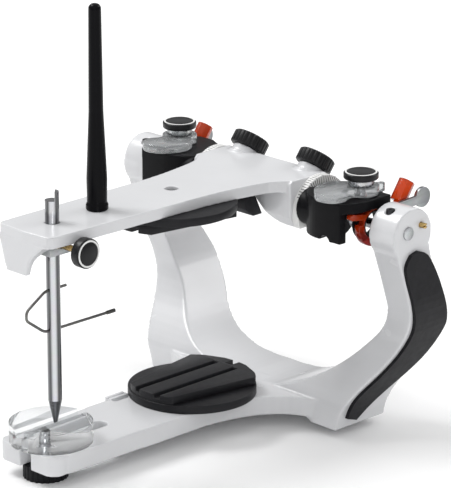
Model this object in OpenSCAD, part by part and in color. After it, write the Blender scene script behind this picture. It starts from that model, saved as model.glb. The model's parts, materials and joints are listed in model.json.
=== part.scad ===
// Semi-adjustable dental articulator.
// Origin: where the incisal pin's axis meets the plane of the feet. +Z up, the pin at the
// front, the condylar hinge axis behind it along +Y, +X towards the right upright.

/* [Hinge axis] */
// Distance from the incisal pin's axis back to the condylar hinge axis
hinge_y = 171; // [168:0.5:174]
// Height of the condylar hinge axis above the feet
hinge_z = 129; // [128.5:0.1:129.5]
// Half the distance between the two condyle balls
ball_x = 72; // [71:0.5:73]
// Radius of a condyle ball
ball_r = 5.5; // [5:0.1:5.6]
// Radius of the shafts that carry the balls
axle_r = 3; // [2.5:0.1:3.2]

/* [Lower member] */
// Height of the base's top face
base_top = 20; // [19.5:0.1:20]
// Thickness of the base bar
base_t = 11.4; // [11:0.1:11.6]
// Half the width of the base bar
base_half_w = 25; // [24:0.5:26]
// Width of the slot that the incisal table slides along
slot_w = 9; // [8:0.5:10]

/* [Upper member] */
// Height of the arm's top face
arm_top = 149; // [149:0.1:150]
// Thickness of the arm
arm_t = 7; // [6.8:0.1:7.2]
// Half the width of the arm
arm_half_w = 24; // [23:0.5:25]

/* [Incisal pin and table] */
// Radius of the incisal pin
pin_r = 4; // [3.8:0.1:4.2]
// Height of the pin's top end above the feet
pin_top = 167; // [165:1:170]
// Height of the pin's tip above the feet
pin_tip = 28.3; // [28.3:0.1:29]
// Radius of the incisal table
table_r = 24; // [22:0.5:25]
// Height of the incisal table's rim above the feet
table_top = 32; // [31.5:0.1:32.5]

/* [Mounting plates] */
// Distance of the lower plate's centre behind the pin
low_plate_y = 108; // [104:1:110]
// Distance of the upper plate's centre behind the pin
up_plate_y = 92; // [88:1:94]
// Radius of the round plate holders
plate_r = 38; // [36:0.5:38.5]
// Thickness of a plate holder, and of a mounting plate on it
plate_t = 5; // [4.5:0.1:5.2]

/* [Handle and knobs] */
// Height of the handle rod above the arm
rod_h = 119; // [100:1:125]
// Radius of the handle rod's foot
rod_foot_r = 6.4; // [6:0.1:6.8]
// Radius of the handle rod's top
rod_top_r = 3.6; // [3.2:0.1:3.8]
// Radius of the side shift wings' knobs
knob_r = 10.2; // [9.6:0.1:10.4]
// Radius of the pin's clamp knob
pin_knob_r = 8.6; // [8:0.1:9]
// Radius of the ribbed lock knobs on the cross bar
lock_knob_r = 11.2; // [10.6:0.1:11.4]
// Backward tilt of the lock knobs from the vertical
lock_tilt = 38; // [36:1:40]

/* [Hidden] */
$fn = 48;

gap = 0.3;                       // air between pieces that move past each other
fit = 0.05;                      // radial clearance of a shaft in its hole
base_low = base_top - base_t;
arm_low = arm_top - arm_t;
foot_r = 13;                     // table clamp foot
table_y = -3.5;                  // middle of the incisal table
clamp_y = -8;                    // screw under the table, and the clamp foot on it
magnet_r = 12;
clamp_z = arm_low - 4.7;         // axis of the pin's clamp screw
rod_y = 34;                      // handle rod's distance behind the pin
upright_x = 112;                 // outer face of the uprights
axle_in = ball_x - 6.5;          // free end of an axle, inside the housing
slide_room = 4;                  // travel of the ball along the fossa path
throat_r = axle_r + slide_room + gap;
bar_front = hinge_y - 22;        // front face of the cross bar
bar_end = 40;                    // end face of the cross bar
ring_r = 20.5;                   // scale ring round the hinge axis
ring_t = 5;
shaft_r = 5;                     // tilt shaft
flange_x = bar_end + ring_t + gap;
housing_x = 59;                  // outer end of the housing's flange
roof_z = hinge_z + 10;           // underside of the housing's cover
cover_t = 6;
cover_top = roof_z + cover_t;
cheek_x = ball_x + ball_r + gap; // wall that carries the centric lever
lever_x = 82.4;
lever_t = 3.8;
skirt_x = lever_x + lever_t + gap;
skirt_t = 2;
latch_x = skirt_x + skirt_t + gap;
latch_t = 2.4;
grip_r = 4.9;                    // centric lever's grip
latch_pin = [6, 7.5];            // (y, z) from the hinge axis
wing_x = 75;                     // axis of the side shift wing
wing_t = 5;
wing_z = cover_top + gap;        // underside of the wing
wing_r = 10.5;
knob_z = wing_z + wing_t + 4;    // underside of the wing's knob
knob_h = 4;
lock_x = 27;                     // lock knobs' distance from the middle
lock_z = hinge_z + 7.5;          // where a lock knob's axis meets the hinge plane
lock_boss = 15.4;                // length of the boss along that axis
lock_knob_t = 8;

// Point on the smooth curve through b and c, with neighbours a and d
function curve_point(a, b, c, d, t) = 0.5 * (2 * b + (c - a) * t
    + (2 * a - 5 * b + 4 * c - d) * t * t + (3 * b - a - 3 * c + d) * t * t * t);

// Smooth open curve through the given points, with steps pieces between each pair
function smooth_curve(pts, steps = 3) = concat([for (i = [0 : len(pts) - 2], k = [0 : steps - 1])
    curve_point(pts[max(i - 1, 0)], pts[i], pts[i + 1], pts[min(i + 2, len(pts) - 1)], k / steps)],
    [pts[len(pts) - 1]]);

function reversed(pts) = [for (i = [len(pts) - 1 : -1 : 0]) pts[i]];

// Extrudes an outline drawn as (y, z) along X from x0 to x1
module along_x(x0, x1) {
    translate([x0, 0, 0]) rotate([90, 0, 90]) linear_extrude(x1 - x0) children();
}

// Extrudes an outline drawn as (x, z) along Y from y0 to y1
module along_y(y0, y1) {
    translate([0, y1, 0]) rotate([90, 0, 0]) linear_extrude(y1 - y0) children();
}

module both_sides() {
    children();
    mirror([1, 0, 0]) children();
}

// Cylinder along X, centred on the hinge axis
module hinge_disc(r, x0, x1) {
    translate([x0, hinge_y, hinge_z]) rotate([0, 90, 0]) cylinder(r = r, h = x1 - x0);
}

// Places an outline drawn as (y, z) from the hinge axis
module at_hinge() translate([hinge_y, hinge_z]) children();

// Straight bar with slightly wider round ends between two points of a plane
module link(p, q, r) {
    d = q - p;
    translate(p) circle(r);
    translate(q) circle(r);
    translate(p) rotate(atan2(d[1], d[0])) translate([0, -0.9 * r]) square([norm(d), 1.8 * r]);
}

// ---------------------------------------------------------------- lower member

upright_front = [[160, 124], [166, 108], [172, 91], [177.5, 72], [177, 58], [170, 45],
    [158, 32], [150.5, 22], [149, 13], [149, 5]];
upright_rear = [[189.5, 119], [193, 106], [202, 88], [211, 72], [213, 62], [208, 47],
    [198, 34], [192.5, 24], [191, 14], [191, 5]];
bow_outer = [[upright_x, 150], [upright_x, 100], [111.5, 84], [108, 70], [102.5, 57], [95, 42],
    [87, 28.5], [81.5, 18], [78.5, 10], [77.5, 5]];
bow_inner = [[92.5, 150], [92.5, 90], [92, 78], [87, 65], [77, 52.5], [64, 39],
    [48, 28.5], [30, 22], [15, base_top], [0, base_top]];

module side_profile() {
    polygon(concat(smooth_curve(upright_front), reversed(smooth_curve(upright_rear))));
    translate([hinge_y + 4, hinge_z - 2]) circle(16);
}

module bow_profile() {
    foot = [[58, 5], [52, base_low], [0, base_low]];
    polygon(concat(smooth_curve(bow_outer), foot, reversed(smooth_curve(bow_inner))));
}

module bar_plan() {
    flare = smooth_curve([[base_half_w, 92], [28, 112], [35, 130], [46, 142.5], [60, 149], [72, 151]]);
    front = [[0, -23.5], [16.5, -23.5], [16.5, -12], [24, -12], [base_half_w, 60]];
    polygon(concat(front, flare, [[72, 160], [0, 160]]));
    translate([16.5, -16]) circle(7.5);
}

module axle_hole_tools() {
    hinge_disc(axle_r, 85, 120);
    translate([101, hinge_y - 3, hinge_z + 8]) cylinder(r = 2.5, h = 12);
    translate([103, hinge_y + 11, hinge_z + 3]) rotate([0, 90, 0]) cylinder(r = 1.6, h = 12);
}

// Cast base: the bar in front, the cross piece and both uprights in one bow
module base_frame() color("whitesmoke") difference() {
    union() {
        intersection() {
            both_sides() along_y(120, 230) bow_profile();
            along_x(-120, 120) side_profile();
        }
        both_sides() translate([0, 0, base_low]) linear_extrude(base_t) bar_plan();
    }
    translate([-slot_w / 2, -30, base_low - 1]) cube([slot_w, 63.5, base_t + 2]);
    translate([0, 33.5, base_low - 1]) cylinder(d = slot_w, h = base_t + 2);
    translate([0, low_plate_y, base_top - 6]) cylinder(r = magnet_r, h = 7);
    translate([-base_half_w - 1, 65.4, base_top - 6.8]) cube([5.4, 15.2, 8]);
    both_sides() axle_hole_tools();
}

pad_front = [[172, 116], [168, 110], [169, 102], [174, 88], [180, 72], [181, 62], [177, 50],
    [168, 38], [158, 27], [155.5, 20], [155.5, 12]];
pad_rear = [[178, 117.5], [186, 113.5], [194, 101], [200, 88], [207.5, 72], [209.5, 62],
    [204, 47], [193, 34], [176, 20], [164, 9]];
pad_t = 2.4;

// Rubber cover that follows an upright's outer face
module upright_pad() color([0.1, 0.1, 0.1]) intersection() {
    along_y(140, 220) difference() {
        polygon(concat([for (p = smooth_curve(bow_outer)) p + [pad_t, 0]], [[60, 5], [60, 150]]));
        polygon(concat(smooth_curve(bow_outer), [[77.5, 4], [50, 4], [50, 151], [upright_x, 151]]));
    }
    along_x(60, 120) polygon(concat(smooth_curve(pad_front), reversed(smooth_curve(pad_rear))));
}

module right_upright_pad() upright_pad();
module left_upright_pad() mirror([1, 0, 0]) upright_pad();

module rear_feet() color([0.12, 0.12, 0.12]) both_sides() translate([58, 178, 0]) cylinder(r = 7, h = 5);

// Shaft clamped in an upright's head
module axle() color("silver") {
    hinge_disc(axle_r - fit, axle_in, 91);
    hinge_disc(axle_r, 91, upright_x);
    hinge_disc(3.9, upright_x, upright_x + 0.8);
}

module right_axle() axle();
module left_axle() mirror([1, 0, 0]) axle();

module axle_set_screws() color([0.15, 0.15, 0.16]) both_sides()
    translate([101, hinge_y - 3, hinge_z + 8]) difference() {
        cylinder(r = 2.5, h = 5);
        translate([0, 0, 2.5]) cylinder(r = 1.3, h = 3, $fn = 6);
    }

module axle_lock_screws() color("goldenrod") both_sides()
    translate([103, hinge_y + 11, hinge_z + 3]) rotate([0, 90, 0]) difference() {
        cylinder(r = 1.6, h = 12.5);
        translate([-0.4, -2, 11.5]) cube([0.8, 4, 2]);
    }

module lower_plate_holder() color([0.13, 0.13, 0.14])
    translate([0, low_plate_y, base_top]) cylinder(r = plate_r, h = plate_t);

module plate_plan() intersection() {
    polygon([[-17, -38], [17, -38], [28, 28], [9, 36], [0, 37], [-9, 36], [-28, 28]]);
    circle(plate_r - 0.5);
}

// Ribbed plate that a stone cast is fixed to
module mounting_plate() difference() {
    linear_extrude(plate_t) plate_plan();
    for (x = [-10, 6]) translate([x, -40, plate_t - 2.5]) cube([4, 68, 3]);
    translate([-2.5, 30, plate_t - 2.5]) cube([5, 10, 3]);
}

module lower_mounting_plate() color([0.16, 0.16, 0.17])
    translate([0, low_plate_y, base_top + plate_t]) mounting_plate();

module lower_magnet() color("silver")
    translate([0, low_plate_y, base_top - 6]) cylinder(r = magnet_r, h = 6);

// Tab at the base's left edge that pushes the magnetic plate free
module release_tab() color([0.85, 0.85, 0.83]) translate([-base_half_w - 5.4, 66, base_top - 6.2])
    difference() {
        cube([5.8, 14, 6]);
        translate([2.2, -1, 5]) cube([0.8, 16, 2]);
    }

// ---------------------------------------------------------------- incisal table

module incisal_table() color([0.85, 0.88, 0.9, 0.5])
    translate([0, table_y, base_top + 0.1]) difference() {
        cylinder(r = table_r, h = table_top - base_top - 0.1);
        translate([-3.6, -table_r - 1, 7.8]) cube([7.2, 2 * table_r + 2, 10]);
        translate([-1.6, -table_r - 1, -1]) cube([3.2, 7, 20]);
        translate([0, clamp_y - table_y, -1]) cylinder(r = 3, h = 6);
    }

module table_screw() color("silver") translate([0, clamp_y, 0]) {
    translate([0, 0, 3]) cylinder(r = 3 - fit, h = base_low - 3);
    translate([0, 0, base_low]) cylinder(r = 3, h = base_top + 5.1 - base_low);
}

// Ribbed nut that clamps the table and stands on the bench as the front foot
module table_clamp_foot() color([0.08, 0.08, 0.08]) translate([0, clamp_y, 0]) difference() {
    cylinder(r = foot_r, h = base_low - gap);
    translate([0, 0, 2.5]) cylinder(r = 3, h = base_low);
    for (a = [0 : 15 : 345]) rotate(a) translate([foot_r + 0.4, 0, -1]) cylinder(r = 1, h = base_low + 1);
}

// ---------------------------------------------------------------- condyle balls

module condyle_ball() color([0.75, 0.76, 0.78])
    translate([ball_x, hinge_y, hinge_z]) rotate([0, 90, 0]) rotate_extrude() intersection() {
        circle(ball_r);
        translate([axle_r, -ball_r]) square([ball_r, 2 * ball_r]);
    }

module right_condyle_ball() condyle_ball();
module left_condyle_ball() mirror([1, 0, 0]) condyle_ball();

// ---------------------------------------------------------------- upper member

module arm_plan() {
    side = smooth_curve([[arm_half_w - 2, 10], [arm_half_w - 1, 60], [arm_half_w, 98], [27, 122],
        [31, 140], [37.5, 150], [bar_end, 160]]);
    polygon(concat([[0, -22.5], [19.5, -21.5], [21.5, -18]], side, [[bar_end, 176], [0, 176]]));
}

// Cross section of the cross bar, as (y, z)
module cross_bar_profile() polygon([[bar_front, arm_top - 2], [bar_front + 2, arm_top], [178, arm_top],
    [186, arm_top - 6], [186, arm_top - 17], [176, arm_top - 28], [bar_front + 3, arm_top - 28],
    [bar_front, arm_top - 22]]);

// The cross bar seen from the front, as (x, z): its underside arches between the ends
module cross_bar_front() {
    arch = smooth_curve([[0, arm_low - 1], [6, arm_low - 4], [14, arm_low - 11], [23, arm_low - 18],
        [31, arm_low - 20.7], [bar_end, arm_low - 21]]);
    polygon(concat(arch, [[bar_end, arm_top], [0, arm_top]]));
}

// The beak at the arm's front end, seen from the side as (y, z)
module beak_profile() {
    inner = smooth_curve([[-9.5, arm_low], [-14, arm_low - 4], [-17.5, arm_low - 10],
        [-18, arm_low - 19.5]]);
    polygon(concat([[-9.5, arm_low + 1]], inner, [[-21.5, arm_low - 19.5], [-22.3, arm_low + 1]]));
}

// The beak seen from the front, as (x, z)
module beak_front() {
    left = smooth_curve([[-20, arm_low + 1], [-18.5, arm_low - 5], [-14.5, arm_low - 20]]);
    right = smooth_curve([[1, arm_low - 20], [4, arm_low - 12], [10, arm_low - 5], [18, arm_low + 1]]);
    polygon(concat(left, right));
}

module upper_frame() color("whitesmoke") difference() {
    union() {
        both_sides() translate([0, 0, arm_low]) linear_extrude(arm_t) arm_plan();
        intersection() {
            along_x(-21, 21) beak_profile();
            along_y(-30, 0) beak_front();
        }
        both_sides() {
            intersection() {
                along_x(0, bar_end) cross_bar_profile();
                along_y(140, 200) cross_bar_front();
            }
            at_lock_knob() translate([0, 0, -4]) cylinder(r = 10, h = lock_boss - 0.5);
            at_lock_knob() translate([0, 0, 10]) cylinder(r = 8.4, h = lock_boss - 10);
        }
    }
    translate([0, 0, 100]) cylinder(r = pin_r + fit, h = 60);
    translate([0, rod_y, 100]) cylinder(r = 3, h = 60);
    translate([0, up_plate_y, 100]) cylinder(r = 4, h = 60);
    translate([0, up_plate_y, arm_low - 1]) cylinder(r = magnet_r, h = 5);
    both_sides() {
        hinge_disc(shaft_r, 26, 50);
        at_lock_knob() translate([0, 0, 5]) cylinder(r = 3, h = 12);
    }
}

// Block under the arm that the pin's clamp screw goes through
module pin_clamp_block() color([0.7, 0.72, 0.72]) difference() {
    translate([-8, -9, arm_low - 10]) cube([16, 15, 10]);
    translate([0, 0, 100]) cylinder(r = pin_r + fit, h = 60);
    translate([pin_r + 0.7, 0, clamp_z]) rotate([0, 90, 0]) cylinder(r = pin_screw_r + fit, h = 20);
}

module upper_plate_holder() color([0.13, 0.13, 0.14])
    translate([0, up_plate_y, arm_low - plate_t]) cylinder(r = plate_r, h = plate_t);

module upper_mounting_plate() color([0.16, 0.16, 0.17])
    translate([0, up_plate_y, arm_low - plate_t]) mirror([0, 0, 1]) mounting_plate();

module upper_magnet() color("silver") translate([0, up_plate_y, arm_low]) difference() {
    cylinder(r = magnet_r, h = 4);
    translate([0, 0, -1]) cylinder(r = 4, h = 6);
}

module handle_rod() color([0.09, 0.09, 0.1]) translate([0, rod_y, arm_top]) rotate_extrude()
    polygon(concat([[0, 0], [rod_foot_r - 0.6, 0], [rod_foot_r, 0.8], [rod_foot_r, 3.2],
        [rod_foot_r - 0.7, 4.6], [rod_foot_r - 0.5, 18], [rod_top_r + 0.6, rod_h * 0.48],
        [rod_top_r, rod_h - 3]],
        [for (a = [15 : 15 : 75]) [rod_top_r - 3 + 3 * cos(a), rod_h - 3 + 3 * sin(a)]],
        [[rod_top_r - 3, rod_h], [0, rod_h]]));

module handle_stud() color("silver") translate([0, rod_y, arm_low]) cylinder(r = 3, h = arm_t);

module scale_ring() color("white") difference() {
    hinge_disc(ring_r, bar_end, bar_end + ring_t);
    translate([bar_end - 1, hinge_y - 30, hinge_z - 38]) cube([ring_t + 2, 60, 30]);
    hinge_disc(shaft_r, bar_end - 1, bar_end + ring_t + 1);
    for (a = [-65 : 5 : 60]) translate([bar_end + 1, hinge_y, hinge_z]) rotate([a, 0, 0])
        translate([0, -0.2, ring_r - 0.5]) cube([ring_t, 0.4, 2]);
}

module right_scale_ring() scale_ring();
module left_scale_ring() mirror([1, 0, 0]) scale_ring();

module tilt_shaft() color("silver") {
    hinge_disc(shaft_r, 26, bar_end + ring_t);
    hinge_disc(shaft_r - fit, bar_end + ring_t, housing_x);
}

module right_tilt_shaft() tilt_shaft();
module left_tilt_shaft() mirror([1, 0, 0]) tilt_shaft();

// Rubber stop under the arm, in front of the cross bar
module rear_bumper() color([0.12, 0.12, 0.12]) along_x(-20, 20)
    polygon([[131, arm_low], [139, arm_low], [146.5, arm_low - 16], [139, arm_low - 16],
        [133, arm_low - 11]]);

// ---------------------------------------------------------------- incisal pin

wire_z = [86, 109.8];           // heights at which the wire passes through the pin

module incisal_pin() color("silver") difference() {
    union() {
        translate([0, 0, 44]) cylinder(r = pin_r, h = pin_top - 44);
        translate([0, 0, pin_tip]) cylinder(r1 = 0.7, r2 = pin_r, h = 44 - pin_tip);
    }
    translate([0, 0, pin_top - 5]) rotate(45) translate([-8.3, -6, 0]) cube([10, 12, 10]);
    for (z = wire_z) translate([0, -6, z]) rotate([-90, 0, 0]) cylinder(r = 0.8, h = 12);
}

// Straight piece of wire between two points of the plane x = 0
module wire_run(p, q) {
    d = q - p;
    translate([0, p[0], p[1]]) rotate([-90 + atan2(d[1], d[0]), 0, 0]) cylinder(r = 0.8, h = norm(d));
}

// Springy wire pointer that passes twice through the pin
module pointer_wire() color([0.5, 0.5, 0.5]) {
    bends = [[9.5, wire_z[1]], [-6, wire_z[1]], [-20, 101], [-20.5, 96], [-7, wire_z[0]], [46.5, wire_z[0]]];
    for (i = [0 : len(bends) - 2]) wire_run(bends[i], bends[i + 1]);
    for (i = [1 : len(bends) - 2]) translate([0, bends[i][0], bends[i][1]]) sphere(0.9);
}

// ---------------------------------------------------------------- clamp knobs

// Low round knob with a raised middle; a white ring lies in the groove round it
module round_knob(r, h) difference() {
    union() {
        cylinder(r1 = r - 0.6, r2 = r, h = 0.6);
        translate([0, 0, 0.6]) cylinder(r = r, h = h - 1.2);
        translate([0, 0, h - 0.6]) cylinder(r1 = r, r2 = r - 0.6, h = 0.6);
        translate([0, 0, h]) cylinder(r1 = r - 1.8, r2 = r - 3, h = 0.6);
    }
    translate([0, 0, h - 1]) difference() {
        cylinder(r = r - 0.8, h = 2);
        translate([0, 0, -1]) cylinder(r = r - 1.8, h = 4);
    }
}

module knob_ring(r, h) translate([0, 0, h - 1]) difference() {
    cylinder(r = r - 0.8, h = 1.2);
    translate([0, 0, -1]) cylinder(r = r - 1.8, h = 4);
}

pin_knob_x = 24;
pin_knob_h = 6;
pin_screw_r = 1.9;

module at_pin_knob() translate([pin_knob_x, 0, clamp_z]) rotate([0, 90, 0]) children();

module pin_knob() color([0.1, 0.1, 0.1]) at_pin_knob() round_knob(pin_knob_r, pin_knob_h);
module pin_knob_ring() color("white") at_pin_knob() knob_ring(pin_knob_r, pin_knob_h);
module pin_knob_screw() color("goldenrod") translate([pin_r + 1, 0, clamp_z]) rotate([0, 90, 0])
    cylinder(r = pin_screw_r, h = pin_knob_x - pin_r - 1);

// Frame of a lock knob: +Z along its screw, which leans back from the cross bar
module at_lock_knob() translate([lock_x, hinge_y, lock_z]) rotate([-lock_tilt, 0, 0]) children();

module lock_knob() color([0.1, 0.1, 0.1]) at_lock_knob() translate([0, 0, lock_boss + gap]) difference() {
    union() {
        cylinder(r1 = lock_knob_r - 1, r2 = lock_knob_r, h = 0.8);
        translate([0, 0, 0.8]) cylinder(r = lock_knob_r, h = lock_knob_t - 1.6);
        translate([0, 0, lock_knob_t - 0.8]) cylinder(r1 = lock_knob_r, r2 = lock_knob_r - 1, h = 0.8);
    }
    for (a = [0 : 15 : 345]) rotate(a) translate([lock_knob_r + 0.55, 0, -1]) cylinder(r = 1, h = 12);
}

module right_lock_knob() lock_knob();
module left_lock_knob() mirror([1, 0, 0]) lock_knob();

module lock_screw() color("silver") at_lock_knob()
    translate([0, 0, 5.2]) cylinder(r = 3 - fit, h = lock_boss + gap - 5.2);

module right_lock_screw() lock_screw();
module left_lock_screw() mirror([1, 0, 0]) lock_screw();

// ---------------------------------------------------------------- condyle housings

// Outer line of the housing's front, seen from above, from the hinge axis
wall_line = smooth_curve([[46, -11], [48, -16.5], [53, -21.5], [60, -24.5], [68, -25.2],
    [76, -25.2], [82, -25]]);

// Plan of the cover; it stops short of the centric lever behind
module cover_plan() translate([0, hinge_y])
    polygon(concat(wall_line, [[skirt_x, -19], [skirt_x + skirt_t, -12], [skirt_x + skirt_t, 11],
        [78, 11], [76, 18], [64, 18], [50, 11]]));

// Plan of the wall in front of the ball
module wall_plan() translate([0, hinge_y])
    polygon(concat(wall_line, [[82, -19.5], [60, -19.2], [55.5, -16], [54, -9], [46, -9]]));

// Cover over the ball, wall in front of it, and the round flange on the tilt shaft
module condyle_housing() color([0.1, 0.1, 0.11]) difference() {
    union() {
        translate([0, 0, roof_z]) linear_extrude(cover_t) cover_plan();
        translate([0, 0, hinge_z - 8]) linear_extrude(19) wall_plan();
        along_x(flange_x, housing_x) at_hinge() {
            circle(14);
            translate([-12, 5]) circle(11);
        }
        hinge_disc(10.5, cheek_x, cheek_x + 1.7);
        hinge_disc(throat_r + 1, cheek_x, lever_x + lever_t);
        translate([cheek_x, hinge_y - 9, hinge_z]) cube([1.7, 18, 10]);
        // lug outside the lever, for the latch lever's pin
        translate([skirt_x, hinge_y + 1, hinge_z + 4]) cube([skirt_t, 10, 6.5]);
    }
    hinge_disc(shaft_r, 40, housing_x + 1);
    hinge_disc(throat_r, cheek_x - 1, 90);
    translate([housing_x + 11, hinge_y - 27, hinge_z - 9]) rotate([-90, 0, 0]) cylinder(r = 4, h = 9);
    translate([wing_x, hinge_y, roof_z + 1]) cylinder(r = 2.5 + fit, h = 20);
    translate([skirt_x, hinge_y + latch_pin[0], hinge_z + latch_pin[1]]) rotate([0, 90, 0])
        cylinder(r = 1.5, h = skirt_t);
}

module right_condyle_housing() condyle_housing();
module left_condyle_housing() mirror([1, 0, 0]) condyle_housing();

// Hard insert whose underside is the path that the ball runs under
module fossa_insert() color([0.3, 0.3, 0.32])
    translate([axle_in, hinge_y - 12, hinge_z + 8]) cube([11, 20, 2]);

module right_fossa_insert() fossa_insert();
module left_fossa_insert() mirror([1, 0, 0]) fossa_insert();

// Clear plate that swings about its knob's screw to set the side shift angle
module side_shift_wing() color([0.8, 0.82, 0.82, 0.7]) translate([wing_x, hinge_y, wing_z]) difference() {
    union() {
        cylinder(r = wing_r, h = wing_t);
        linear_extrude(wing_t) {
            polygon(concat([[0, 8]], smooth_curve([[-wing_r, 0], [-16.5, -6], [-18, -15], [-13.5, -25],
                [-5, -30], [3.5, -27.5], [6, -20], [3, -13], [5, -6]], 4)));
            link([3, 8], [5, 12], 2);
        }
    }
    translate([0, 0, -1]) cylinder(r = 2.5, h = 20);
}

module right_side_shift_wing() side_shift_wing();
module left_side_shift_wing() mirror([1, 0, 0]) side_shift_wing();

module at_wing_knob() translate([wing_x, hinge_y, knob_z]) children();

module right_wing_knob() color([0.1, 0.1, 0.1]) at_wing_knob() round_knob(knob_r, knob_h);
module left_wing_knob() mirror([1, 0, 0]) right_wing_knob();
module right_wing_knob_ring() color("white") at_wing_knob() knob_ring(knob_r, knob_h);
module left_wing_knob_ring() mirror([1, 0, 0]) right_wing_knob_ring();

// Screw with a wide collar between the wing and the knob
module wing_screw() color("silver") translate([wing_x, hinge_y, 0]) {
    translate([0, 0, roof_z + 1.2]) cylinder(r = 2.5 - fit, h = knob_z - roof_z - 2);
    translate([0, 0, wing_z + wing_t + gap]) cylinder(r = 7.5, h = knob_z - wing_z - wing_t - gap);
}

module right_wing_screw() wing_screw();
module left_wing_screw() mirror([1, 0, 0]) wing_screw();

// ---------------------------------------------------------------- levers

// Rocker round the housing's throat: a hook in front of the axle and a grip behind the cover
module centric_lever() color([0.85, 0.2, 0.08]) {
    along_x(lever_x, lever_x + lever_t) at_hinge() difference() {
        union() {
            circle(9.6);
            intersection() {
                circle(13);
                polygon([[-16, 2], [0, 0], [5, -16], [-16, -16]]);
            }
            link([-18, 7.5], [-7, 5.5], 1.9);
            link([7, 0], [17, 1], 3);
            link([17, 1], [22.5, 8], 3);
        }
        circle(throat_r + 1 + fit);
    }
    translate([latch_x - grip_r - 2 * gap, hinge_y + 22.5, hinge_z + 8]) rotate([-36, 0, 0])
        cylinder(r = grip_r, h = 13.5, $fn = 8);
}

module right_centric_lever() centric_lever();
module left_centric_lever() mirror([1, 0, 0]) centric_lever();

module lever_pin() color("silver")
    translate([lever_x + lever_t + gap, hinge_y + latch_pin[0], hinge_z + latch_pin[1]]) rotate([0, 90, 0]) {
        cylinder(r = 1.5, h = skirt_t);
        translate([0, 0, skirt_t]) cylinder(r = 1.5 - fit, h = gap + latch_t);
    }

module right_lever_pin() lever_pin();
module left_lever_pin() mirror([1, 0, 0]) lever_pin();

// Flat lever between the housing and the upright, with a round paddle at its end
module latch_lever() color([0.7, 0.72, 0.73]) along_x(latch_x, latch_x + latch_t) at_hinge() difference() {
    union() {
        link(latch_pin, [31, 8.5], 2.8);
        translate(latch_pin) circle(4);
        translate([36, 9.5]) circle(6);
    }
    translate(latch_pin) circle(1.5);
}

module right_latch_lever() latch_lever();
module left_latch_lever() mirror([1, 0, 0]) latch_lever();

base_frame();
left_upright_pad();
right_upright_pad();
rear_feet();
left_axle();
right_axle();
axle_set_screws();
axle_lock_screws();
lower_plate_holder();
lower_mounting_plate();
lower_magnet();
release_tab();
incisal_table();
table_screw();
table_clamp_foot();
left_condyle_ball();
right_condyle_ball();
upper_frame();
pin_clamp_block();
upper_plate_holder();
upper_mounting_plate();
upper_magnet();
handle_rod();
handle_stud();
left_scale_ring();
right_scale_ring();
left_tilt_shaft();
right_tilt_shaft();
rear_bumper();
incisal_pin();
pointer_wire();
pin_knob();
pin_knob_ring();
pin_knob_screw();
left_lock_knob();
right_lock_knob();
left_lock_screw();
right_lock_screw();
left_condyle_housing();
right_condyle_housing();
left_fossa_insert();
right_fossa_insert();
left_side_shift_wing();
right_side_shift_wing();
left_wing_knob();
right_wing_knob();
left_wing_knob_ring();
right_wing_knob_ring();
left_wing_screw();
right_wing_screw();
left_centric_lever();
right_centric_lever();
left_lever_pin();
right_lever_pin();
left_latch_lever();
right_latch_lever();
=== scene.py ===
import json
import math

import bmesh
import bpy
from mathutils import Matrix, Vector


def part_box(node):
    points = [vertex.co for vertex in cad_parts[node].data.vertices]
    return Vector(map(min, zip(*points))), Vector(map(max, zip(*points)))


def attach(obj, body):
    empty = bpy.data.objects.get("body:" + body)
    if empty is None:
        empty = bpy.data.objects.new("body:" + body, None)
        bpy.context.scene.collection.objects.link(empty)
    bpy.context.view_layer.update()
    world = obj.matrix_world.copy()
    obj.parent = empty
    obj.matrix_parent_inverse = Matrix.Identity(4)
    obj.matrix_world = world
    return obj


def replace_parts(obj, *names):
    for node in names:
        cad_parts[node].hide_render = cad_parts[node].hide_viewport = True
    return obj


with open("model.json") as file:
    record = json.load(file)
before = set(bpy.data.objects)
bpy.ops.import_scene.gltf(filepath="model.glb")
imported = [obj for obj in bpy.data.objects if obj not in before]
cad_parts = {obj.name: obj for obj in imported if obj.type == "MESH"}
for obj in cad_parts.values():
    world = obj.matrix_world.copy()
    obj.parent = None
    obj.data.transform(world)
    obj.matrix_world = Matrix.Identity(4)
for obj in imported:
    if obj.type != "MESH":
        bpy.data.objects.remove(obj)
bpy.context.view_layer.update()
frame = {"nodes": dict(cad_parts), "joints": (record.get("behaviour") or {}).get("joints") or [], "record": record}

MM = 0.001
WHITE = (1.0, 1.0, 1.0, 1.0)

# Pieces whose edges are broken by a small round: node prefix or name -> width in mm
EDGE_ROUND = {
    "pin_clamp_block": 0.5,
    "upper_plate_holder": 0.5,
    "lower_plate_holder": 0.5,
    "upper_mounting_plate": 0.4,
    "lower_mounting_plate": 0.4,
    "release_tab": 0.6,
    "rear_bumper": 0.8,
    "incisal_table": 0.5,
    "table_clamp_foot": 0.5,
    "rear_feet": 0.8,
    "condyle_housing": 0.9,
    "side_shift_wing": 0.8,
    "centric_lever": 0.5,
    "latch_lever": 0.45,
    "scale_ring": 0.25,
    "wing_knob": 0.3,
    "pin_knob": 0.3,
    "lock_knob": 0.3,
    "axle": 0.35,
    "tilt_shaft": 0.2,
    "axle_set_screws": 0.15,
    "axle_lock_screws": 0.15,
    "pin_knob_screw": 0.3,
    "fossa_insert": 0.3,
    "wing_screw": 0.3,
}


# ------------------------------------------------------------------ materials


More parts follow.
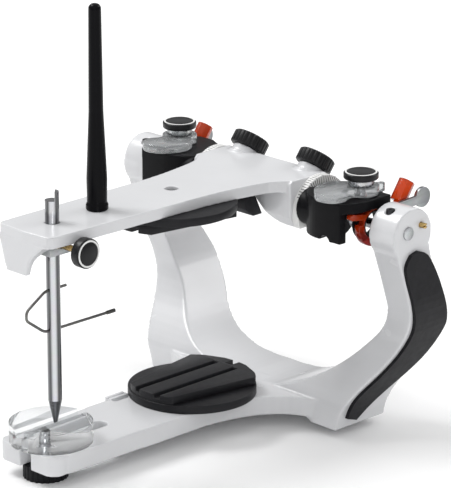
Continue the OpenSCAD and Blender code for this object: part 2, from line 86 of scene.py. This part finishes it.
class Shade:
    """A material under construction: its node tree and Principled shader."""

    def __init__(self, name):
        self.material = bpy.data.materials.new(name)
        self.material.use_nodes = True
        self.tree = self.material.node_tree
        self.shader = self.tree.nodes["Principled BSDF"]

    def node(self, kind, **inputs):
        made = self.tree.nodes.new(kind)
        for key, value in inputs.items():
            made.inputs[key.replace("_", " ")].default_value = value
        return made

    def link(self, source, target):
        self.tree.links.new(source, target)

    def noise(self, scale, detail=3.0):
        place = self.node("ShaderNodeTexCoord")
        noise = self.node("ShaderNodeTexNoise", Scale=scale, Detail=detail)
        self.link(place.outputs["Object"], noise.inputs["Vector"])
        return noise

    def tint(self, base, spread, scale):
        """Slow change of colour between base darker and base lighter by spread."""
        noise = self.noise(scale)
        ramp = self.node("ShaderNodeValToRGB")
        low, high = ramp.color_ramp.elements
        low.position, high.position = 0.3, 0.7
        low.color = tuple(c * (1 - spread) for c in base) + (1.0,)
        high.color = tuple(min(1.0, c * (1 + spread)) for c in base) + (1.0,)
        self.link(noise.outputs["Fac"], ramp.inputs["Fac"])
        self.link(ramp.outputs["Color"], self.shader.inputs["Base Color"])

    def roughness(self, low, high, scale):
        noise = self.noise(scale)
        spread = self.node("ShaderNodeMapRange")
        spread.inputs["To Min"].default_value = low
        spread.inputs["To Max"].default_value = high
        self.link(noise.outputs["Fac"], spread.inputs["Value"])
        self.link(spread.outputs["Result"], self.shader.inputs["Roughness"])

    def bump(self, scale, depth, strength=0.3):
        noise = self.noise(scale)
        bump = self.node("ShaderNodeBump", Strength=strength, Distance=depth)
        self.link(noise.outputs["Fac"], bump.inputs["Height"])
        self.link(bump.outputs["Normal"], self.shader.inputs["Normal"])

    def set(self, **values):
        for key, value in values.items():
            self.shader.inputs[key.replace("_", " ")].default_value = value
        return self


def enamel():
    m = Shade("white_enamel")
    m.tint((0.66, 0.665, 0.68), 0.02, 25)
    m.roughness(0.2, 0.3, 60)
    m.bump(900, 0.00003, 0.15)
    return m.set(Coat_Weight=0.25, Coat_Roughness=0.12)


def rubber():
    m = Shade("black_rubber")
    m.tint((0.007, 0.007, 0.009), 0.25, 300)
    m.roughness(0.45, 0.6, 200)
    m.bump(2500, 0.00005, 0.35)
    return m.set(Specular_IOR_Level=0.2)


def metal(name, colour, low, high, painted_rim_shade=0.35, turn_at=0.3):
    """Bright metal with painted reflection: its colour darkens to edge times itself where the surface turns away
    from the view, as painted dark streaks along the rims.
    """
    m = Shade(name)
    m.roughness(low, high, 400)
    m.bump(1200, 0.00002, 0.12)
    noise = m.noise(180)
    # Painted reflection: the base colour follows the viewing angle, full where the surface faces the view and
    # darkest towards the rims.
    turn = m.node("ShaderNodeLayerWeight", Blend=0.35)
    ramp = m.node("ShaderNodeValToRGB")
    painted_reflection_stops = (
        (0.0, 1.0),
        (turn_at * 0.7, 0.95),
        (turn_at * 1.3, 0.45),
        (turn_at * 1.8, painted_rim_shade),
        (0.85, 0.6),
    )
    while len(ramp.color_ramp.elements) < len(painted_reflection_stops):
        ramp.color_ramp.elements.new(0.5)
    for element, (place, share) in zip(ramp.color_ramp.elements, painted_reflection_stops):
        element.position = place
        element.color = tuple(c * share for c in colour) + (1.0,)
    grain = m.tree.nodes.new("ShaderNodeMix")
    grain.data_type = "RGBA"
    grain.blend_type = "MULTIPLY"
    grain.inputs["Factor"].default_value = 0.15
    m.link(turn.outputs["Facing"], ramp.inputs["Fac"])
    m.link(ramp.outputs["Color"], grain.inputs[6])
    m.link(noise.outputs["Color"], grain.inputs[7])
    m.link(grain.outputs[2], m.shader.inputs["Base Color"])
    return m.set(Metallic=1.0)


def plastic(name, colour, low, high, spread=0.08, coat=0.0, specular=0.2):
    m = Shade(name)
    m.tint(colour, spread, 220)
    m.roughness(low, high, 320)
    m.bump(1800, 0.00002, 0.12)
    return m.set(Coat_Weight=coat, Coat_Roughness=0.08, Specular_IOR_Level=specular)


def clear(name, colour, low, high, transmission, ior=1.47):
    m = Shade(name)
    m.tint(colour, 0.03, 90)
    m.roughness(low, high, 240)
    return m.set(Transmission_Weight=transmission, IOR=ior)


def lever_with_painted_shade():
    """Translucent orange with painted shade: below the hinge axis the hook is painted deep red for the shade it
    hangs in.
    """
    m = Shade("lever_orange")
    place = m.node("ShaderNodeTexCoord")
    split = m.node("ShaderNodeSeparateXYZ")
    height = m.node("ShaderNodeMapRange")
    height.inputs["From Min"].default_value = 122 * MM
    height.inputs["From Max"].default_value = 134 * MM
    # Painted shade: the low stop is a dark red for the shaded hook below the hinge, the high stop is the lever's
    # own orange.
    ramp = m.node("ShaderNodeValToRGB")
    low, high = ramp.color_ramp.elements
    low.color = (0.3, 0.008, 0.004, 1.0)
    high.color = (0.66, 0.062, 0.006, 1.0)
    m.link(place.outputs["Object"], split.inputs["Vector"])
    m.link(split.outputs["Z"], height.inputs["Value"])
    m.link(height.outputs["Result"], ramp.inputs["Fac"])
    m.link(ramp.outputs["Color"], m.shader.inputs["Base Color"])
    m.roughness(0.05, 0.1, 240)
    return m.set(Transmission_Weight=0.55, IOR=1.45)


# Every metal() entry below carries painted reflection: its colour darkens where the surface turns away from the
# view.
MATERIALS = {
    "white_enamel": enamel,
    "black_rubber": rubber,
    "ground_steel": lambda: metal("ground_steel", (0.62, 0.63, 0.65), 0.2, 0.34),
    "dark_screw": lambda: metal("dark_screw", (0.06, 0.06, 0.065), 0.3, 0.45),
    "brass": lambda: metal("brass", (0.72, 0.5, 0.2), 0.22, 0.36),
    "plate_plastic": lambda: plastic("plate_plastic", (0.012, 0.012, 0.014), 0.36, 0.48),
    "clear_acrylic": lambda: clear("clear_acrylic", (0.93, 0.94, 0.945), 0.02, 0.06, 0.95, 1.1),
    "grey_plastic": lambda: clear("grey_plastic", (0.78, 0.8, 0.81), 0.04, 0.08, 0.8, 1.45),
    "grey_metal": lambda: metal("grey_metal", (0.5, 0.52, 0.53), 0.35, 0.48),
    "rod_black": lambda: plastic("rod_black", (0.003, 0.003, 0.004), 0.2, 0.28, 0.1, 0.02, 0.08),
    "scale_white": lambda: plastic("scale_white", (0.78, 0.78, 0.77), 0.3, 0.42, 0.03),
    "polished_chrome": lambda: metal("polished_chrome", (0.66, 0.67, 0.69), 0.12, 0.2, 0.15, 0.08),
    "wire_steel": lambda: metal("wire_steel", (0.2, 0.195, 0.19), 0.28, 0.4),
    "knob_black": lambda: plastic("knob_black", (0.008, 0.008, 0.009), 0.3, 0.42, 0.12, 0.1),
    "housing_black": lambda: plastic("housing_black", (0.005, 0.005, 0.006), 0.3, 0.42, 0.12, 0.0, 0.08),
    "lever_orange": lever_with_painted_shade,
}
made_materials = {}


def material(slot):
    if slot not in made_materials:
        made_materials[slot] = MATERIALS[slot]().material
    return made_materials[slot]


# ------------------------------------------------------------------ mesh helpers


SLOT = {s["node"]: s["material_slot"] for s in frame["record"]["subparts"]}
BODY = {
    n: b for b, ns in frame["record"]["behaviour"]["bodies"].items() for n in ns
}


def new_object(name, bm, smooth_deg=35):
    """A mesh object from bm, with faces shaded smooth up to that angle."""
    mesh = bpy.data.meshes.new(name)
    bm.to_mesh(mesh)
    bm.free()
    obj = bpy.data.objects.new(name, mesh)
    bpy.context.scene.collection.objects.link(obj)
    for p in mesh.polygons:
        p.use_smooth = True
    mesh.set_sharp_from_angle(angle=math.radians(smooth_deg))
    return obj


def dress(obj, slot, body):
    """Gives a new piece its material, slot and body."""
    obj.data.materials.clear()
    obj.data.materials.append(material(slot))
    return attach(obj, body)


def cad_bmesh(node):
    """The CAD node as welded n-gons: flat faces are one face each again."""
    bm = bmesh.new()
    bm.from_mesh(frame["nodes"][node].data)
    bmesh.ops.remove_doubles(bm, verts=bm.verts, dist=2e-6)
    bmesh.ops.dissolve_limit(
        bm, angle_limit=math.radians(0.4), verts=bm.verts, edges=bm.edges
    )
    return bm


def round_edges(bm, width, segments=2, angle=32):
    sharp = [
        e
        for e in bm.edges
        if e.is_manifold and e.calc_face_angle(0) > math.radians(angle)
    ]
    bmesh.ops.bevel(
        bm,
        geom=sharp,
        offset=width,
        segments=segments,
        profile=0.5,
        affect="EDGES",
        clamp_overlap=True,
    )


def width_for(node):
    bare = node.replace("left_", "").replace("right_", "")
    return EDGE_ROUND.get(node, EDGE_ROUND.get(bare, 0.0)) * MM


def replace_with(node, bm, suffix="_round", smooth_deg=35):
    piece = new_object(node + suffix, bm, smooth_deg)
    dress(piece, SLOT[node], BODY[node])
    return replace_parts(piece, node)


def rounded_node(node):
    bm = cad_bmesh(node)
    round_edges(bm, width_for(node))
    return replace_with(node, bm)


def cast_node(node, voxel, turns):
    """A casting: the CAD shape with all its edges melted into soft rounds."""
    bm = bmesh.new()
    bm.from_mesh(frame["nodes"][node].data)
    bmesh.ops.remove_doubles(bm, verts=bm.verts, dist=2e-6)
    obj = new_object(node + "_cast", bm)
    remesh = obj.modifiers.new("grid", "REMESH")
    remesh.mode = "VOXEL"
    remesh.voxel_size = voxel * MM
    smooth = obj.modifiers.new("soften", "SMOOTH")
    smooth.factor = 0.5
    smooth.iterations = turns
    depsgraph = bpy.context.evaluated_depsgraph_get()
    mesh = bpy.data.meshes.new_from_object(obj.evaluated_get(depsgraph))
    obj.modifiers.clear()
    obj.data = mesh
    for p in mesh.polygons:
        p.use_smooth = True
    dress(obj, SLOT[node], BODY[node])
    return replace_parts(obj, node)


# ------------------------------------------------------------------ the object


CASTINGS = {
    "base_frame": (0.8, 4),
    "upper_frame": (0.6, 2),
    "left_condyle_housing": (0.45, 5),
    "right_condyle_housing": (0.45, 5),
}

def tube(name, points, radius, sides=14):
    """A round tube swept along points, with flat ends."""
    bm = bmesh.new()
    rings = []
    for i, p in enumerate(points):
        before, after = points[max(i - 1, 0)], points[min(i + 1, len(points) - 1)]
        along = (after - before).normalized()
        side = Vector((1.0, 0.0, 0.0))
        up = along.cross(side).normalized()
        turns = [2 * math.pi * k / sides for k in range(sides)]
        rings.append(
            [bm.verts.new(p + radius * (side * math.cos(a) + up * math.sin(a))) for a in turns]
        )
    for low, high in zip(rings, rings[1:]):
        for k in range(sides):
            n = (k + 1) % sides
            bm.faces.new((low[k], low[n], high[n], high[k]))
    bm.faces.new(rings[0][::-1])
    bm.faces.new(rings[-1])
    bmesh.ops.recalc_face_normals(bm, faces=bm.faces)
    return new_object(name, bm)


def rounded_path(corners, radius, steps=8):
    """The corners as a path whose bends are arcs of about that radius."""
    path = [corners[0]]
    for a, b, c in zip(corners, corners[1:], corners[2:]):
        reach = min(radius, (a - b).length / 2.2, (c - b).length / 2.2)
        start, end = b + (a - b).normalized() * reach, b + (c - b).normalized() * reach
        for k in range(steps + 1):
            t = k / steps
            path.append(start * (1 - t) ** 2 + b * 2 * t * (1 - t) + end * t**2)
    return path + [corners[-1]]


def wire():
    """The pointer wire with round bends and a ribbed sleeve on its free end."""
    low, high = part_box("pointer_wire")
    r = 0.8 * MM
    top, bottom = high.z - 1.0 * r, low.z + r
    front, back = low.y + r, high.y - 0.02 * MM
    corners = [
        Vector((0, 9.5 * MM, top)),
        Vector((0, -6 * MM, top)),
        Vector((0, front + 0.5 * MM, top - 8.8 * MM)),
        Vector((0, front, bottom + 10 * MM)),
        Vector((0, -7 * MM, bottom)),
        Vector((0, back, bottom)),
    ]
    obj = tube("pointer_wire_bent", rounded_path(corners, 3 * MM), r)
    dress(obj, "wire_steel", "incisal_pin")
    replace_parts(obj, "pointer_wire")
    count, pitch = 7, 0.9 * MM
    for k in range(count):
        y = back - 0.4 * MM - k * pitch
        ends = [Vector((0, y - 0.25 * MM, bottom)), Vector((0, y + 0.25 * MM, bottom))]
        rib = tube(f"wire_rib_{k}", ends, 1.15 * MM)
        dress(rib, "wire_steel", "incisal_pin")


def add_box(bm, low, high, turn=None):
    made = bmesh.ops.create_cube(bm, size=1.0)["verts"]
    size = Vector(high) - Vector(low)
    middle = (Vector(high) + Vector(low)) / 2
    bmesh.ops.scale(bm, vec=size, verts=made)
    bmesh.ops.translate(bm, vec=middle, verts=made)
    if turn:
        bmesh.ops.transform(bm, matrix=turn, verts=made)


HINGE = Vector(next(j for j in frame["joints"] if j["name"] == "upper_member_opening")["pos_m"])


def scale_marks(side):
    """Dark lines in the grooves of a scale ring, and finer ones on its outer face."""
    low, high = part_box(f"{side}_scale_ring")
    inner = low.x if side == "right" else high.x
    outward = 1 if side == "right" else -1
    face = high.x if side == "right" else low.x
    radius = high.z - HINGE.z
    bm = bmesh.new()
    for k in range(26):
        angle = math.radians(-65 + 5 * k)
        length = (4.2 if k % 3 == 1 else 2.6) * MM
        a, b = inner + outward * 1.0 * MM, inner + outward * (0.8 * MM + length)
        turn = Matrix.Translation(HINGE) @ Matrix.Rotation(angle, 4, "X")
        place = (min(a, b), -0.16 * MM, radius - 0.5 * MM), (max(a, b), 0.16 * MM, radius - 0.06 * MM)
        add_box(bm, *place, turn)
        a, b = face - outward * 0.1 * MM, face + outward * 0.05 * MM
        top, depth = radius - 0.6 * MM, (6.5 if k % 3 == 1 else 4.5) * MM
        add_box(bm, (min(a, b), -0.22 * MM, top - depth), (max(a, b), 0.22 * MM, top), turn)
    dress(new_object(f"{side}_scale_marks", bm), "knob_black", "upper_member")


wire()
for side in ("left", "right"):
    scale_marks(side)

for name, cad in frame["nodes"].items():
    cad.data.materials.clear()
    cad.data.materials.append(material(SLOT[name]))
    for face in cad.data.polygons:
        face.use_smooth = True
    cad.data.set_sharp_from_angle(angle=math.radians(32))
    if name in CASTINGS:
        cast_node(name, *CASTINGS[name])
    elif width_for(name) and not cad.hide_render:
        rounded_node(name)


# ------------------------------------------------------------------ stage, light, camera


def floor():
    bm = bmesh.new()
    bmesh.ops.create_grid(bm, x_segments=1, y_segments=1, size=4.0)
    obj = new_object("studio_floor", bm)
    paint = Shade("studio_floor")
    paint.tint((0.97, 0.97, 0.97), 0.003, 2)
    paint.set(Roughness=0.6)
    obj.data.materials.append(paint.material)


def area_light(name, place, target, size, power):
    data = bpy.data.lights.new(name, "AREA")
    data.shape = "RECTANGLE"
    data.size, data.size_y = size
    data.energy = power
    obj = bpy.data.objects.new(name, data)
    bpy.context.scene.collection.objects.link(obj)
    obj.location = place
    aim = Vector(target) - Vector(place)
    obj.rotation_euler = aim.to_track_quat("-Z", "Y").to_euler()


def lights():
    middle = (0.0, 0.09, 0.08)
    area_light("key", (-1.5, -0.5, 2.4), middle, (1.2, 1.2), 46)
    area_light("fill", (1.6, -1.2, 0.8), middle, (0.7, 0.7), 6)
    area_light("back", (0.6, 2.0, 1.6), middle, (1.2, 0.8), 12)


def sky():
    """Light that grows towards the zenith, behind a plain white backdrop."""
    world = bpy.data.worlds.new("studio")
    bpy.context.scene.world = world
    world.use_nodes = True
    tree = world.node_tree
    background = tree.nodes["Background"]
    place = tree.nodes.new("ShaderNodeTexCoord")
    split = tree.nodes.new("ShaderNodeSeparateXYZ")
    ramp = tree.nodes.new("ShaderNodeValToRGB")
    tree.links.new(place.outputs["Generated"], split.inputs["Vector"])
    tree.links.new(split.outputs["Z"], ramp.inputs["Fac"])
    tree.links.new(ramp.outputs["Color"], background.inputs["Color"])
    horizon, zenith = ramp.color_ramp.elements
    horizon.position, horizon.color = 0.0, (0.12, 0.12, 0.125, 1.0)
    zenith.position, zenith.color = 0.6, WHITE
    background.inputs["Strength"].default_value = 0.8
    backdrop = tree.nodes.new("ShaderNodeBackground")
    backdrop.inputs["Color"].default_value = WHITE
    rays = tree.nodes.new("ShaderNodeLightPath")
    seen = tree.nodes.new("ShaderNodeMixShader")
    tree.links.new(rays.outputs["Is Camera Ray"], seen.inputs["Fac"])
    tree.links.new(background.outputs["Background"], seen.inputs[1])
    tree.links.new(backdrop.outputs["Background"], seen.inputs[2])
    tree.links.new(seen.outputs["Shader"], tree.nodes["World Output"].inputs["Surface"])


AZIMUTH, ELEVATION = math.radians(46.44), math.radians(19.18)
CAMERA_DISTANCE = 1.9
LOOK_AT = Vector((0.0, 0.081, 0.075))
AIM_RIGHT, AIM_UP = 39.13 * MM, 40.40 * MM
LENS = 261.8


def camera():
    back = Vector(
        (
            math.sin(AZIMUTH) * math.cos(ELEVATION),
            -math.cos(AZIMUTH) * math.cos(ELEVATION),
            math.sin(ELEVATION),
        )
    )
    right = Vector((math.cos(AZIMUTH), math.sin(AZIMUTH), 0.0))
    up = back.cross(right)
    data = bpy.data.cameras.new("camera")
    data.sensor_fit = "HORIZONTAL"
    data.sensor_width = 36.0
    data.lens = LENS
    data.clip_start, data.clip_end = 0.05, 20.0
    obj = bpy.data.objects.new("camera", data)
    bpy.context.scene.collection.objects.link(obj)
    obj.location = LOOK_AT + back * CAMERA_DISTANCE
    aim = LOOK_AT + right * AIM_RIGHT + up * AIM_UP
    toward = (aim - obj.location).normalized()
    side = toward.cross(Vector((0, 0, 1))).normalized()
    head = side.cross(toward)
    obj.matrix_world = Matrix.Translation(obj.location) @ Matrix(
        (side, head, -toward)
    ).transposed().to_4x4()
    bpy.context.scene.camera = obj


floor()
lights()
sky()
camera()
bpy.context.scene.view_settings.view_transform = "Standard"
